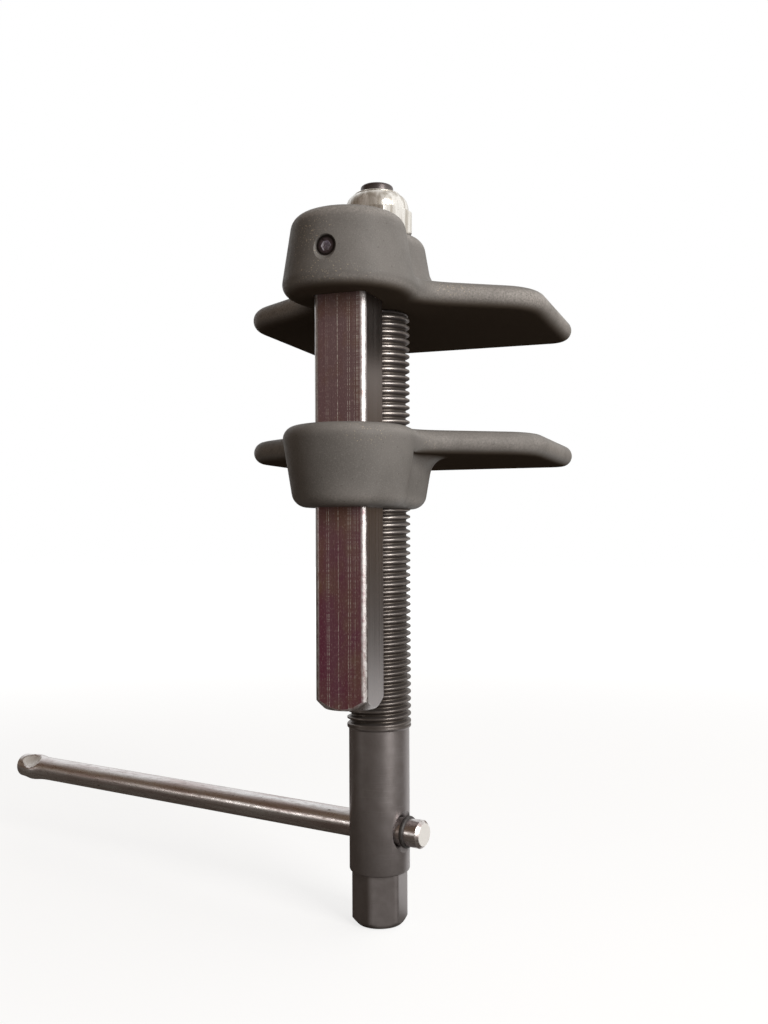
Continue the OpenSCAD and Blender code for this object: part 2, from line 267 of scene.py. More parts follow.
def plate_reach(d, inset):
    """Distance along rays d to the plate outline drawn inwards: front, corner, side, corner, back."""
    front = (FRONT_OUT, FRONT_OUT @ FRONT_C + FRONT_R)
    reach = np.full(len(d), 1e9)
    for n, off in (front, (SIDE_OUT, HALF_W), (BACK_OUT, BACK)):
        with np.errstate(divide="ignore"):
            t = (off - inset - n @ POLE) / (d @ n)
        reach = np.where(d @ n > 1e-9, np.minimum(reach, t), reach)
    front_turn = math.atan2(FRONT_OUT[1], FRONT_OUT[0])
    corners = ((FRONT_C, FRONT_R, front_turn, 0.0), (BACK_C, BACK_R, 0.0, math.pi / 2))
    for c, r, first, last in corners:
        t = circle_roots(d, c, r - inset)[1]
        p = POLE + np.nan_to_num(t)[:, None] * d - c
        a = np.arctan2(p[:, 1], p[:, 0])
        reach = np.where((a >= first) & (a <= last) & ~np.isnan(t), t, reach)
    return reach


print("centre of the waist:", waist_centre().round(2))

# %% [markdown]
# Rays
# Rays at equal angles would be too far apart on the long corners of the plate. So fine rays measure the
# outline first, and the final rays are spread evenly along it, with some length added where it bends.

# %% Rays of half a jaw
FINE_RAYS = 4001
JAW_RAYS = 230
BEND_LENGTH = 6.0


def jaw_rays():
    """Ray directions of the right half, spaced evenly along the outline of plate and boss."""
    fine = np.linspace(-np.pi / 2, np.pi / 2, FINE_RAYS)
    d = np.stack([np.cos(fine), np.sin(fine)], axis=1)
    reach = np.maximum(boss_reach(d, 0.6), plate_reach(d, 0.0))
    p = reach[:, None] * d
    along = np.diff(p, axis=0)
    step = np.linalg.norm(along, axis=1)
    course = np.unwrap(np.arctan2(along[:, 1], along[:, 0]))
    bend = np.abs(np.gradient(course))
    run = np.concatenate([[0], np.cumsum(step + BEND_LENGTH * bend)])
    at = np.interp(np.linspace(0, run[-1], JAW_RAYS), run, fine)
    return np.stack([np.cos(at), np.sin(at)], axis=1)


rays = jaw_rays()
print("rays on half a jaw:", len(rays))

# %% [markdown]
# Skin of a jaw
# The section on each ray runs out along the inner face, around the full-round edge, in over the plate,
# up the fillet and the drafted wall, around the rim and over the top. A row holds a distance and a
# height for all rays at once. A smooth maximum of the two outlines makes the web where the plate meets
# the boss. The left half is the mirror image, and the lower jaw is the same forging the other way up.

# %% Skin of a jaw
WEB = 15.0
PLATE_Z = 2 * EDGE_R
FOOT_Z = EDGE_R * (1 + math.sin(DRAFT))
FOOT_IN = FOOT_Z / math.cos(DRAFT)
RIM_Z = BOSS_H - RIM_R * (1 - math.sin(DRAFT))
RIM_IN = BOSS_H * math.tan(DRAFT) + RIM_R * (1 - math.sin(DRAFT)) / math.cos(DRAFT)


def wall(z):
    """Inset of the boss at height z: the round of the foot, then the draft."""
    if z >= FOOT_Z:
        return z * math.tan(DRAFT)
    return FOOT_IN - math.sqrt(max(EDGE_R**2 - (EDGE_R - z) ** 2, 0.0))


def between(first, last, shares):
    """Rows at some shares of the way from one row of (distance, height) to another."""
    return [tuple(a + s * (b - a) for a, b in zip(first, last)) for s in shares]


def edge_rows(d):
    """Rows around the full-round edge of the plate, joined to the foot of the boss by the web."""
    rows = []
    for a in np.radians(np.linspace(-90, 90, 25)):
        z = EDGE_R * (1 + math.sin(a))
        plate = plate_reach(d, EDGE_R * (1 - math.cos(a)))
        rows.append((smooth_max(boss_reach(d, wall(z)), plate, WEB), np.full(len(d), z)))
    return rows


def fillet_rows(d, edge):
    """Rows over the plate and up a quarter round to the wall; the round shrinks where there is no room."""
    foot = boss_reach(d, wall(PLATE_Z))
    fillet = FILLET_R * (1 - np.exp(-0.8 * (edge[0] - foot) / FILLET_R))
    rows = between(edge, (foot + fillet, edge[1]), np.linspace(0, 1, 12)[1:])
    for a in np.radians(np.linspace(0, 90, 9))[1:]:
        z = PLATE_Z + fillet * (1 - math.cos(a))
        base = foot - (z - PLATE_Z) * math.tan(DRAFT)
        rows.append((base + fillet * (1 - math.sin(a)), z))
    return rows


def rim_rows(d, low):
    """Rows up the drafted wall from a low row and around the rim of the boss."""
    rows = between(low, (boss_reach(d, wall(RIM_Z)), RIM_Z), np.linspace(0, 1, 9)[1:])
    for a in np.linspace(DRAFT, np.pi / 2, 10)[1:]:
        z = BOSS_H - RIM_R * (1 - math.sin(a))
        rows.append((boss_reach(d, RIM_IN - RIM_R * math.cos(a)), np.full(len(d), z)))
    return rows


def jaw_half(d):
    """Grid of one half along rays d, from the pole of the inner face to the pole of the top."""
    edge = edge_rows(d)
    plate = fillet_rows(d, edge[-1])
    boss = rim_rows(d, plate[-1])
    face = between((0 * edge[0][0], edge[0][1]), edge[0], (0.0, 0.35, 0.62, 0.82, 0.94))
    cap = between((0 * boss[-1][0], boss[-1][1]), boss[-1], (0.9, 0.6, 0.3, 0.0))
    rows = face + edge + plate + boss + cap
    reach, height = np.moveaxis(np.array(rows), 1, 0)
    return np.dstack([POLE + reach[:, :, None] * d, height])


def jaw_skin(name, face_z, up):
    """Both halves of a jaw with its inner face at height face_z and its boss towards up (1 or -1)."""
    right = jaw_half(rays)
    left = right[:, ::-1] * np.array([-1, 1, 1])
    whole = np.concatenate([right, left[:, 1:]], axis=1)
    return surface(name, [whole * np.array([1, 1, up]) + np.array([0, 0, face_z])])


upper = jaw_skin("upper_jaw_skin", SEAT_Z, 1)
lower = jaw_skin("lower_jaw_skin", LOW_Z, -1)
report(upper)
report(lower)

# %% [markdown]
# Holes in the jaws
# The upper jaw has a tight square hole for the bar, a bore for the stud and a countersunk hole for the
# set screw in its front. The lower jaw has the sliding square hole and the bore of the drive thread,
# bevelled at both ends. Each cutter stands a little out of the jaw, so that it cuts clean through.

# %% Holes in the jaws
OVER = 1.0
SQUARE_FIT = 17.6
SQUARE_SLIDE = 18.1
STUD_BORE = 7.08
SCREW_Z = SEAT_Z + 12.3
SCREW_BORE = 3.08
SINK = 2.0
SINK_FROM = 19.05
SINK_END = 24.0
THREAD_BORE = 11.08
BORE_BEVEL = 1.8
Y_OUT = np.array([[1, 0, 0], [0, 0, -1], [0, 1, 0]], float)


def square_cutter(w, low, high):
    """Square prism around the bar's axis between two heights."""
    t = np.radians([45, 135, 225, 315, 405])
    return placed(rings(post(w / math.sqrt(2), low, high), t), move=(0, BAR_Y, 0))


sunk = SCREW_BORE + SINK
sink_rows = [(0, 0), (SCREW_BORE, 0), (SCREW_BORE, SINK_FROM)]
sink_rows += [(sunk, SINK_FROM + SINK), (sunk, SINK_END), (0, SINK_END)]
boss_low = LOW_Z - BOSS_H
drill(upper, [
    square_cutter(SQUARE_FIT, SEAT_Z - OVER, BOSS_TOP + OVER),
    lathe(post(STUD_BORE, SEAT_Z - OVER, BOSS_TOP + OVER)),
    placed(lathe(sink_rows), Y_OUT, (0, BAR_Y, SCREW_Z)),
])
drill(lower, [
    square_cutter(SQUARE_SLIDE, boss_low - OVER, LOW_Z + OVER),
    bevelled_plug(THREAD_BORE, boss_low + BORE_BEVEL - OVER, LOW_Z - BORE_BEVEL + OVER, BORE_BEVEL),
])
for jaw, node, body in ((upper, "upper_jaw", "frame"), (lower, "lower_jaw", "moving_jaw")):
    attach(jaw, body)
    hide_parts(node)
    report(jaw)

# %% [markdown]
# Wear on the jaws
# Handling wears a forging first where it stands out: the plate's round edge and the rims of the boss.
# Paint could be brushed on by hand, but a mask worked out from the height and the tilt of every point
# is repeatable. A second mask marks the plate's underside for painted shade, darker and without sheen,
# and a third marks a few places with chips.

# %% Wear masks of the jaws
def points_of(piece):
    """Coordinates in millimetres and normals of all points of a piece."""
    n = len(piece.data.vertices)
    place = np.empty(3 * n, np.float32)
    normal = np.empty(3 * n, np.float32)
    piece.data.vertices.foreach_get("co", place)
    piece.data.vertices.foreach_get("normal", normal)
    return place.reshape(-1, 3) / MM, normal.reshape(-1, 3)


def set_mask(piece, name, value):
    """Stores a number from 0 to 1 on every point, for the materials to read."""
    layer = piece.data.attributes.new(name, "FLOAT", "POINT")
    layer.data.foreach_set("value", np.clip(value, 0, 1).astype(np.float32))


def ramp(x, low, high):
    """Smooth step from 0 at low to 1 at high."""
    t = np.clip((x - low) / (high - low), 0, 1)
    return t * t * (3 - 2 * t)


def jaw_wear(piece, face_z, up, much):
    """1 on the plate's round edge, less on the boss's rims and foot; also marks the underside for painted
    shade.
    """
    p, n = points_of(piece)
    z = up * (p[:, Z] - face_z)
    tilt = up * n[:, Z]
    off_bar = np.hypot(p[:, X], p[:, Y] - BAR_Y) - BAR_R
    off_spindle = np.hypot(p[:, X], p[:, Y]) - SPINDLE_R
    off_boss = np.minimum(off_bar, off_spindle)
    edge = ramp(1 - np.abs(tilt), 0.1, 0.7) * ramp(off_boss, 1, 9) * ramp(PLATE_Z + 0.3 - z, 0, 0.3)
    rim = ramp(z, BOSS_H - RIM_R, BOSS_H - 0.5 * RIM_R) * ramp(1 - tilt, 0.02, 0.3)
    foot = ramp(4 - z, 0, 2) * ramp(-tilt, 0.05, 0.4) * ramp(1 + tilt, 0.02, 0.2)
    set_mask(piece, "wear", much * np.maximum(edge, np.maximum(0.7 * rim, 0.6 * foot)))
    # Painted shade: the plate's underside is marked to be painted darker and without sheen.
    under = ramp(0.6 * EDGE_R - z, 0, 0.6 * EDGE_R) if up > 0 else ramp(-n[:, Z], 0.55, 0.95)
    set_mask(piece, "dull_shaded_underside", under * ramp(3 * EDGE_R - z, 0, EDGE_R))


def jaw_chips(piece, spots):
    """Soft spots of (place, reach, amount): a bell around each place, summed."""
    p = points_of(piece)[0]
    bells = [much * np.exp(-(((p - np.array(at)) / reach) ** 2).sum(axis=1)) for at, reach, much in spots]
    set_mask(piece, "chips", sum(bells))


jaw_wear(upper, SEAT_Z, 1, 1.0)
jaw_wear(lower, LOW_Z, -1, 0.6)
jaw_chips(upper, [
    ((-7, -46, SCREW_Z + 5), 8, 1.0),
    ((0, -47, SCREW_Z - 9), (14, 9, 4), 0.8),
    ((30, -7, SEAT_Z + 6), (9, 7, 4), 1.0),
])
jaw_chips(lower, [
    ((14, -44, LOW_Z - 4), (8, 8, 4), 0.8),
    ((22, -12, LOW_Z - 5), 5, 0.6),
])
print("masks of the upper jaw:", [a.name for a in upper.data.attributes])

# %% [markdown]
# The spindle
# The spindle is turned from one bar: a drive hexagon, a plain shank with a cross hole, a metric thread
# of 2.5 mm pitch, a shoulder and a stud with a plain point. A striped bump could fake the thread, but
# not its silhouette. So its grid rows follow the helix: a row rises by one pitch per turn, and its
# radius depends on its place in the profile. The cut fades out at both ends, where the rows are held.

# %% Spindle surface
PITCH = 2.5
THREAD_R = 11.0
THREAD_CUT = 1.4
SHANK_R = 10.4
THREAD_Z = 66.8
SHOULDER_Z = SEAT_Z - 0.3
TURN = math.radians(-13.6)
HEX_TURN = TURN + math.radians(11)
HEX_AF = 17.0
HEX_CORNER_R = 9.6
HEX_FOOT_R = 7.7
HEX_H = 18.0
STUD_R = 7.0
POINT_R = 5.6
sector = np.concatenate([[0.0], np.linspace(2.3, 57.7, 13)])
around = np.radians(np.concatenate([60 * n + sector for n in range(6)] + [[360.0]]))
theta = around + HEX_TURN + math.radians(30)


def hexagon(across, corner_r, round_k=0.15):
    """Radius of a hexagon at the angles theta, with its corners turned down to corner_r."""
    off = np.mod(theta - HEX_TURN, np.pi / 3)
    off = np.minimum(off, np.pi / 3 - off)
    return smooth_min(across / 2 / np.cos(off), corner_r, round_k)


def drive_rows():
    """Rows from the pole of the foot up the hexagon, which a cone of 45 degrees limits, to the shank."""
    flats = hexagon(HEX_AF, HEX_CORNER_R)
    heights = [0, 0.3, 0.7, 1.1, 1.5, 1.9, 2.4, HEX_H - 0.4, HEX_H]
    rows = [(0, 0)] + [(np.minimum(flats, HEX_FOOT_R + z), z) for z in heights]
    rows += [(HEX_CORNER_R, HEX_H), (SHANK_R - 0.55, HEX_H + 0.06), (SHANK_R - 0.15, HEX_H + 0.35)]
    return rows + [(SHANK_R, z) for z in (HEX_H + 0.8, 42, THREAD_Z)]


def thread_grid():
    """Grid of the thread: phase of the profile along the rows, turned into height by the helix."""
    half = np.array([0, 0.07, 0.11, 0.145, 0.19, 0.26, 0.33, 0.38, 0.42, 0.5])
    sink = np.array([0, 0, 0.03, 0.10, 0.25, 0.52, 0.80, 0.94, 0.99, 1])
    phase = np.concatenate([half, 1 - half[-2:0:-1]])
    depth = np.concatenate([sink, sink[-2:0:-1]])
    turns = int((SHOULDER_Z - THREAD_Z) / PITCH) + 3
    start = THREAD_Z - 2 * PITCH
    row_z = (start + PITCH * (np.arange(turns)[:, None] + phase)).ravel()
    row_d = np.tile(depth, turns)
    z = row_z[:, None] + PITCH * (theta - theta[0]) / (2 * np.pi)
    z = np.clip(z, THREAD_Z, SHOULDER_Z)
    fade = np.clip(np.minimum((z - THREAD_Z - 1.1) / 2.2, (SHOULDER_Z - z) / 1.2), 0, 1)
    cut = THREAD_CUT * row_d[:, None] * fade * fade * (3 - 2 * fade)
    r = np.minimum(THREAD_R - cut, SHANK_R + (z - THREAD_Z))
    r = np.minimum(r, THREAD_R - 0.8 + (SHOULDER_Z - z))
    return np.stack([r * np.cos(theta), r * np.sin(theta), z], axis=2)


def stud_rows():
    """Rows from the shoulder up the stud and its plain point to the pole of the flat top."""
    rows = [(THREAD_R - 0.8, SHOULDER_Z), (STUD_R, SHOULDER_Z), (STUD_R, STUD_TOP - 5.4)]
    rows += [(POINT_R, STUD_TOP - 4), (POINT_R, STUD_TOP - 0.8), (POINT_R - 0.15, STUD_TOP - 0.35)]
    rows += [(POINT_R - 0.5, STUD_TOP - 0.05)]
    return rows + [(r, STUD_TOP) for r in (POINT_R - 0.8, POINT_R - 1.1, 0)]


spindle = surface("spindle_turned", [rings(drive_rows(), theta), thread_grid(), rings(stud_rows(), theta)])
report(spindle)

# %% [markdown]
# Cross hole, wear and painted shade of the spindle
# The cross hole for the T-bar is drilled with a bevel at each mouth. The jaw polishes the crests of the
# thread, and oil and dirt stay in the roots. The low turns under the lower jaw are painted darker, with
# dimmer crests, as painted shade. The point of the stud keeps its dark coat.

# %% Cross hole and masks of the spindle
HANDLE_Z = 32.3
HANDLE_R = 4.75
HOLE_R = HANDLE_R + 0.3
MOUTH_BEVEL = 6.0
TURN_AXIS = np.array([math.cos(TURN), math.sin(TURN), 0])
SIDE_AXIS = np.array([-math.sin(TURN), math.cos(TURN), 0])
ALONG = np.stack([[0, 0, -1], SIDE_AXIS, TURN_AXIS], axis=1)
SHADE_BELOW_Z = 85
mouth = SHANK_R - 0.8 - HOLE_R**2 / (2 * SHANK_R)
drill(spindle, [placed(bevelled_plug(HOLE_R, -mouth, mouth, MOUTH_BEVEL), ALONG, (0, 0, HANDLE_Z))])
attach(spindle, "spindle")
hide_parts("spindle")


def spindle_masks():
    """Crests, roots and the point, from the radius and the height of every point."""
    p = points_of(spindle)[0]
    radius = np.hypot(p[:, X], p[:, Y])
    z = p[:, Z]
    on_thread = ramp(z, THREAD_Z, THREAD_Z + 1.5) * ramp(SHOULDER_Z + 0.1 - z, 0, 0.1)
    # Painted shade: on the low turns below the lower jaw the crests dim and the turns darken.
    worked_and_lit = 0.12 + 0.88 * ramp(z, SHADE_BELOW_Z, LOW_Z)
    dirt_and_shade = np.maximum(ramp(THREAD_R - radius, 0.6, 1.35), 0.85 * (1 - worked_and_lit))
    set_mask(spindle, "crest", on_thread * worked_and_lit * ramp(radius, THREAD_R - 0.45, THREAD_R - 0.05))
    set_mask(spindle, "root", on_thread * dirt_and_shade)
    set_mask(spindle, "point", ramp(z, STUD_TOP - 5, STUD_TOP - 3))


spindle_masks()
report(spindle)

# %% [markdown]
# The guide bar
# The bar is drawn square steel with broken corners, and its lower end is turned to a short point, which
# leaves a shallow arc on each flat. A bevelled box would have hard, even edges. Here the section is the
# smaller of a square and its broken corners, rounded where they meet, so that a corner catches a thin
# line of light.

# %% Guide bar surface
BROKEN = 1.3
END_R = 8.4


def bar_grid():
    """Rounded square section along Z; near the lower end a cone of 45 degrees limits the radius."""
    t = np.linspace(0, 2 * np.pi, 161)
    flat = BAR_HALF / np.maximum(np.abs(np.cos(t)), np.abs(np.sin(t)))
    corner = (BAR_HALF * math.sqrt(2) - BROKEN / math.sqrt(2)) / np.cos(np.mod(t, np.pi / 2) - np.pi / 4)
    section = smooth_min(flat, corner, 0.35)
    low = np.concatenate([[0], np.linspace(0, 3.4, 28), [5, 40, 90]])
    z = np.concatenate([BAR_LOW + low, [BAR_TOP - 0.4, BAR_TOP - 0.12, BAR_TOP, BAR_TOP, BAR_TOP]])
    r = smooth_min(section[None, :], (END_R + z - BAR_LOW)[:, None] + 0 * t, 0.12)
    r[0] = 0
    r[1] = np.minimum(section, END_R - 0.1)
    r[-4:] = [section - 0.12, section - 0.4, section - 0.7, 0 * t]
    return np.stack([r * np.cos(t), r * np.sin(t) + BAR_Y, z[:, None] + 0 * t], axis=2)


def bar_masks(piece):
    """Marks the broken corners with the turned end, the oily front, and the lower part of the bar."""
    p = points_of(piece)[0]
    off = np.abs(p[:, :2] - BAR_C)
    corners = ramp(off.sum(axis=1), 2 * BAR_HALF - 1.9, 2 * BAR_HALF - 1.35)
    turned_end = ramp(np.hypot(off[:, 0], off[:, 1]) - END_R - (p[:, Z] - BAR_LOW), -0.25, -0.05)
    set_mask(piece, "corner", np.maximum(corners, turned_end))
    set_mask(piece, "front", ramp(BAR_Y - p[:, Y], BAR_HALF - 1.2, BAR_HALF - 0.1))
    set_mask(piece, "low", ramp(SEAT_Z - 15 - p[:, Z], 0, 95))


bar = surface("guide_bar_drawn", [bar_grid()], crease=30)
bar_masks(bar)
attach(bar, "frame")
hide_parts("guide_bar")
report(bar)

# %% [markdown]
# The T-bar
# A plated round bar slides through the shank. One end is pinched between two dies, which leaves an oval
# dent on two sides and pushes the metal out on the other two, so that it can't leave the hole. The
# other end has a rubber ring in a groove. A boolean would make the dents but not the bulge, so the
# radius is a formula: the smaller of the bulged bar and the ball of the die.

# %% T-bar surface
HANDLE_LONG = 188.5
HANDLE_SHORT = 18.0
PINCH_X = -180.0
PINCH_TURN = math.radians(38)
PINCH_LEFT = 2.8
PINCH_BULGE = 0.19
BALL_R = 8.04
CHAMFER = 1.0
RING_T = 1.7
RING_X = SHANK_R + 0.3 + RING_T / 2
GROOVE_R = HANDLE_R - 1.0


def handle_places():
    """Places of the rings along the bar, close together at the ends, the dent and the groove."""
    end = np.array([0, 0, 0.12, 0.35, 0.7, 1.0, 1.4])
    dent = np.linspace(PINCH_X - 6.6, PINCH_X + 10, 42)
    plain = np.linspace(PINCH_X + 12, 9, 60)
    groove = np.linspace(RING_X - RING_T / 2, RING_X + RING_T / 2, 13)
    tail = [HANDLE_SHORT - 3, *(HANDLE_SHORT - end[::-1])]
    return np.concatenate([end - HANDLE_LONG, dent, plain, groove, tail])


def handle_grid():
    """Radius over length x and angle a: round bar, bulge, two dents, ring groove and chamfered ends."""
    x, a = np.meshgrid(handle_places(), np.linspace(0, 2 * np.pi, 65), indexing="ij")
    dx = x - PINCH_X
    b = a - PINCH_TURN
    r = HANDLE_R * (1 + PINCH_BULGE * np.cos(b) ** 2 * np.exp(-((dx / 4.2) ** 2)))
    off = PINCH_LEFT + BALL_R
    s = off * np.abs(np.sin(b))
    inside = s * s - (off * off + dx * dx - BALL_R * BALL_R)
    dent = np.where(inside > 0, s - np.sqrt(np.maximum(inside, 0)), 99.0)
    r = smooth_min(r, dent, 0.5)
    g = RING_T / 2
    groove = GROOVE_R + g - np.sqrt(np.maximum(g * g - (x - RING_X) ** 2, 0))
    r = np.where(np.abs(x - RING_X) <= g, np.minimum(r, groove), r)
    end = np.minimum(x + HANDLE_LONG, HANDLE_SHORT - x)
    r = np.minimum(r, HANDLE_R - CHAMFER + smooth_min(end, 9.0, 0.2))
    r[[0, -1]] = 0
    spot = np.stack([x, r * np.cos(a), r * np.sin(a)], axis=2)
    return placed(spot, np.stack([TURN_AXIS, SIDE_AXIS, [0, 0, 1]], axis=1), (0, 0, HANDLE_Z))


def handle_mask(piece):
    """Bare metal: 1 on the sawn end faces and less in the dents."""
    p = points_of(piece)[0]
    along = p @ TURN_AXIS
    across = np.linalg.norm(p - np.array([0, 0, HANDLE_Z]) - along[:, None] * TURN_AXIS, axis=1)
    at_end = np.maximum(along - HANDLE_SHORT, -HANDLE_LONG - along) > -0.02
    dent = (np.abs(along - PINCH_X) < 7) & (across < HANDLE_R - 0.1)
    set_mask(piece, "sawn", np.maximum(at_end & (across < HANDLE_R - 0.8), 0.75 * dent))


handle = surface("handle_plated", [handle_grid()], crease=30)
handle_mask(handle)
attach(handle, "handle")
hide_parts("handle_bar")
report(handle)

# %% [markdown]
# The lock nut
# A lock nut is cold-formed: a hexagon with turned corners, and a domed collar whose lip is rolled over
# a nylon ring. A plain cylinder would lose the lip, which catches the light. So the nut is one closed
# profile carried around the axis: up the hexagon, over dome and lip, and back through pocket and bore.

# %% Lock nut surface
NUT_AF = 22.0
NUT_CORNER_R = 12.55
NUT_HEX_H = 9.0
NUT_H = 15.2
NUT_CONE = math.radians(30)
POCKET_R = 8.2
POCKET_LOW = 10.7
POCKET_HIGH = 13.7
DOME_FROM_R = 10.95
DOME_TO_R = 5.6
LIP_Z = 14.3


def nut_hexagon():
    """Rows of the hexagon, which a cone at the foot and another at the top cut to turned corners."""
    off = np.abs(np.mod(around, np.pi / 3) - np.pi / 6)
    flats = smooth_min(NUT_AF / 2 / np.cos(off), NUT_CORNER_R, 0.15)
    bevel = np.array([0, 0.15, 0.3, 0.5, 0.75, 1.0, 1.3])
    rows = []
    for z in np.concatenate([bevel, NUT_HEX_H - bevel[::-1]]):
        cone = NUT_AF / 2 + min(z, NUT_HEX_H - z) / math.tan(NUT_CONE)
        rows.append((smooth_min(flats, cone, 0.06), z))
    return rows


def nut_dome():
    """Rows of the dome, a superellipse between two radii, and of the groove and the rolled lip."""
    rows = []
    for z in np.linspace(NUT_HEX_H, LIP_Z, 16):
        rise = (z - NUT_HEX_H) / (NUT_H - NUT_HEX_H)
        rows.append((DOME_TO_R + (DOME_FROM_R - DOME_TO_R) * math.sqrt(1 - rise**2.4), z))
    rows += [(8.15, 14.36), (7.98, 14.45), (8.08, 14.62), (8.05, 14.85), (7.88, 15.06), (7.6, 15.18)]
    return rows + [(7.3, NUT_H), (7.12, NUT_H - 0.06), (STUD_BORE, NUT_H - 0.2)]


def nut_bore():
    """Rows down through the pocket of the nylon ring and the bore to the foot."""
    rows = [(STUD_BORE, POCKET_HIGH), (POCKET_R, POCKET_HIGH), (POCKET_R, POCKET_LOW)]
    return rows + [(STUD_BORE, POCKET_LOW), (STUD_BORE, 0.0)]


nut_rows = [(STUD_BORE, 0.0), (8.5, 0.0)] + nut_hexagon() + nut_dome() + nut_bore()
nut = surface("lock_nut_crimped", [placed(rings(nut_rows, around), move=(0, 0, NUT_Z))], crease=28)
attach(nut, "spindle")
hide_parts("lock_nut")
report(nut)

# %% [markdown]
# Finishes
# A material here is a Principled shader with procedural maps on Object coordinates, in metres, so it
# stays with the piece at every pose. The helpers keep each recipe short: a noise that may be stretched,
# a step that maps one range to another, and a mix of two colours. The first class works on any tree.

# %% Material helpers
class Nodes:
    """Adds nodes to a node tree and links their sockets."""

    def __init__(self, tree):
        self.tree = tree

    def link(self, a, b):
        """Link from an output to an input."""
        self.tree.links.new(a, b)

    def fill(self, socket, value):
        """Sets an input to a plain value, or links it where the value is an output."""
        if isinstance(value, bpy.types.NodeSocket):
            self.link(value, socket)
        else:
            socket.default_value = value

    def add(self, kind, *values, **settings):
        """New node with its first inputs filled, and with settings such as its operation."""
        node = self.tree.nodes.new(kind)
        for key, value in settings.items():
            setattr(node, key, value)
        for socket, value in zip(node.inputs, values):
            self.fill(socket, value)
        return node

    def steps(self, value, low, high, to=(0.0, 1.0), **settings):
        """Value from low to high mapped to the range to, and held outside it."""
        return self.add("ShaderNodeMapRange", value, low, high, *to, **settings).outputs["Result"]

    def math(self, kind, a, b):
        """Sum, product or the like of two maps or numbers."""
        return self.add("ShaderNodeMath", a, b, operation=kind).outputs[0]

    def vector(self, kind, *values):
        """Node of a vector operation."""
        return self.add("ShaderNodeVectorMath", *values, operation=kind)

    def blend(self, amount, first, second):
        """Shader between first and second by a map."""
        return self.add("ShaderNodeMixShader", amount, first, second).outputs[0]


class Finish(Nodes):
    """A Principled material under construction."""

    def __init__(self, name):
        self.mat = bpy.data.materials.new(name)
        self.mat.use_nodes = True
        super().__init__(self.mat.node_tree)
        self.shader = self.tree.nodes["Principled BSDF"]
        self.where = self.add("ShaderNodeTexCoord").outputs["Object"]

    def mapped(self, **inputs):
        """Object coordinates moved, turned or scaled."""
        m = self.add("ShaderNodeMapping", self.where)
        for key, value in inputs.items():
            m.inputs[key].default_value = value
        return m.outputs["Vector"]

    def noise(self, scale, stretch=(1, 1, 1), detail=4.0, rough=0.55, shift=(0, 0, 0)):
        """Noise from 0 to 1 at a number of cells per metre, squeezed along each axis by stretch."""
        n = self.add("ShaderNodeTexNoise", self.mapped(Scale=[scale * v for v in stretch], Location=shift))
        n.inputs["Scale"].default_value = 1.0
        n.inputs["Detail"].default_value = detail
        n.inputs["Roughness"].default_value = rough
        return n.outputs["Fac"]

    def mix(self, amount, first, second):
        """Colour between first and second by a map; each is a colour or another mix."""
        n = self.add("ShaderNodeMix", data_type="RGBA")
        self.link(amount, n.inputs["Factor"])
        for socket, v in ((n.inputs[6], first), (n.inputs[7], second)):
            self.fill(socket, (*v, 1) if isinstance(v, tuple) else v)
        return n.outputs[2]

    def mask(self, name):
        """A mask that was stored on the points of the mesh."""
        return self.add("ShaderNodeAttribute", attribute_name=name).outputs["Fac"]

    def depth(self):
        """The Y coordinate in metres, which grows from the front of the tool to its back."""
        return self.add("ShaderNodeSeparateXYZ", self.where).outputs["Y"]

    def from_screw(self):
        """Distance from the axis of the set screw, in metres."""
        offset = self.mapped(Location=(0, 0, -SCREW_Z * MM), Scale=(1, 0, 1))
        return self.vector("LENGTH", offset).outputs["Value"]

    def bump(self, height, distance, strength):
        """Bends the shading by a map that stands up to a distance in metres."""
        n = self.add("ShaderNodeBump")
        n.inputs["Distance"].default_value = distance
        n.inputs["Strength"].default_value = strength
        self.link(height, n.inputs["Height"])
        self.link(n.outputs["Normal"], self.shader.inputs["Normal"])

    def done(self, colour, roughness, metallic, specular=0.5):
        """Fills the shader's sockets with maps or plain values and returns the material."""
        sockets = ("Base Color", "Roughness", "Metallic", "Specular IOR Level")
        for socket, value in zip(sockets, (colour, roughness, metallic, specular)):
            self.fill(self.shader.inputs[socket], value)
        return self.mat


def paint(piece, mat):
    """Gives the piece this one material."""
    piece.data.materials.clear()
    piece.data.materials.append(mat)
    print(piece.name, "is painted with", mat.name)


# %% [markdown]
# Phosphate on the forgings
# A forging is phosphated after it is blasted: a matt grey-brown coat with fine grain. One flat colour
# would look like paint, so clouds, grain, pores and pale specks break it, and the wear mask lets lighter
# metal through on the edges. The underside is painted dark and without sheen as painted shade, and a ring
# of painted shadow surrounds the set screw in its bore.

# %% Phosphate on the forgings
def forging_specks(f):
    """Map of pale specks: a few everywhere in loose groups, and more where the chips mask is."""
    few = f.steps(f.noise(55, shift=(5, 2, 1)), 0.58, 0.74, (0.0, 0.35))
    where = f.math("MAXIMUM", few, f.mask("chips"))
    dots = f.noise(1900, detail=2, shift=(3, 1, 7))
    speck = f.steps(f.math("ADD", dots, f.math("MULTIPLY", where, 0.10)), 0.70, 0.76)
    return f.math("MULTIPLY", speck, f.steps(where, 0.05, 0.35, (0.0, 0.85)))


def forging_rub(f):
    """Map of rubbed metal: the wear mask, broken by a fine grain and by broad patches."""
    grain = f.steps(f.noise(1500, detail=4, rough=0.75, shift=(2, 6, 3)), 0.30, 0.72)
    patches = f.steps(f.noise(60, shift=(1, 3, 6)), 0.2, 0.6)
    return f.math("MULTIPLY", f.math("MULTIPLY", f.mask("wear"), grain), patches)


def bore_shadow_ring(f):
    """Map of the painted shadow in a ring around the set screw, on the front of the boss only."""
    in_front = f.steps(f.depth(), -44 * MM, -43 * MM, (1.0, 0.0))
    return f.math("MULTIPLY", f.steps(f.from_screw(), 3.05 * MM, 3.5 * MM, (0.9, 0.0)), in_front)


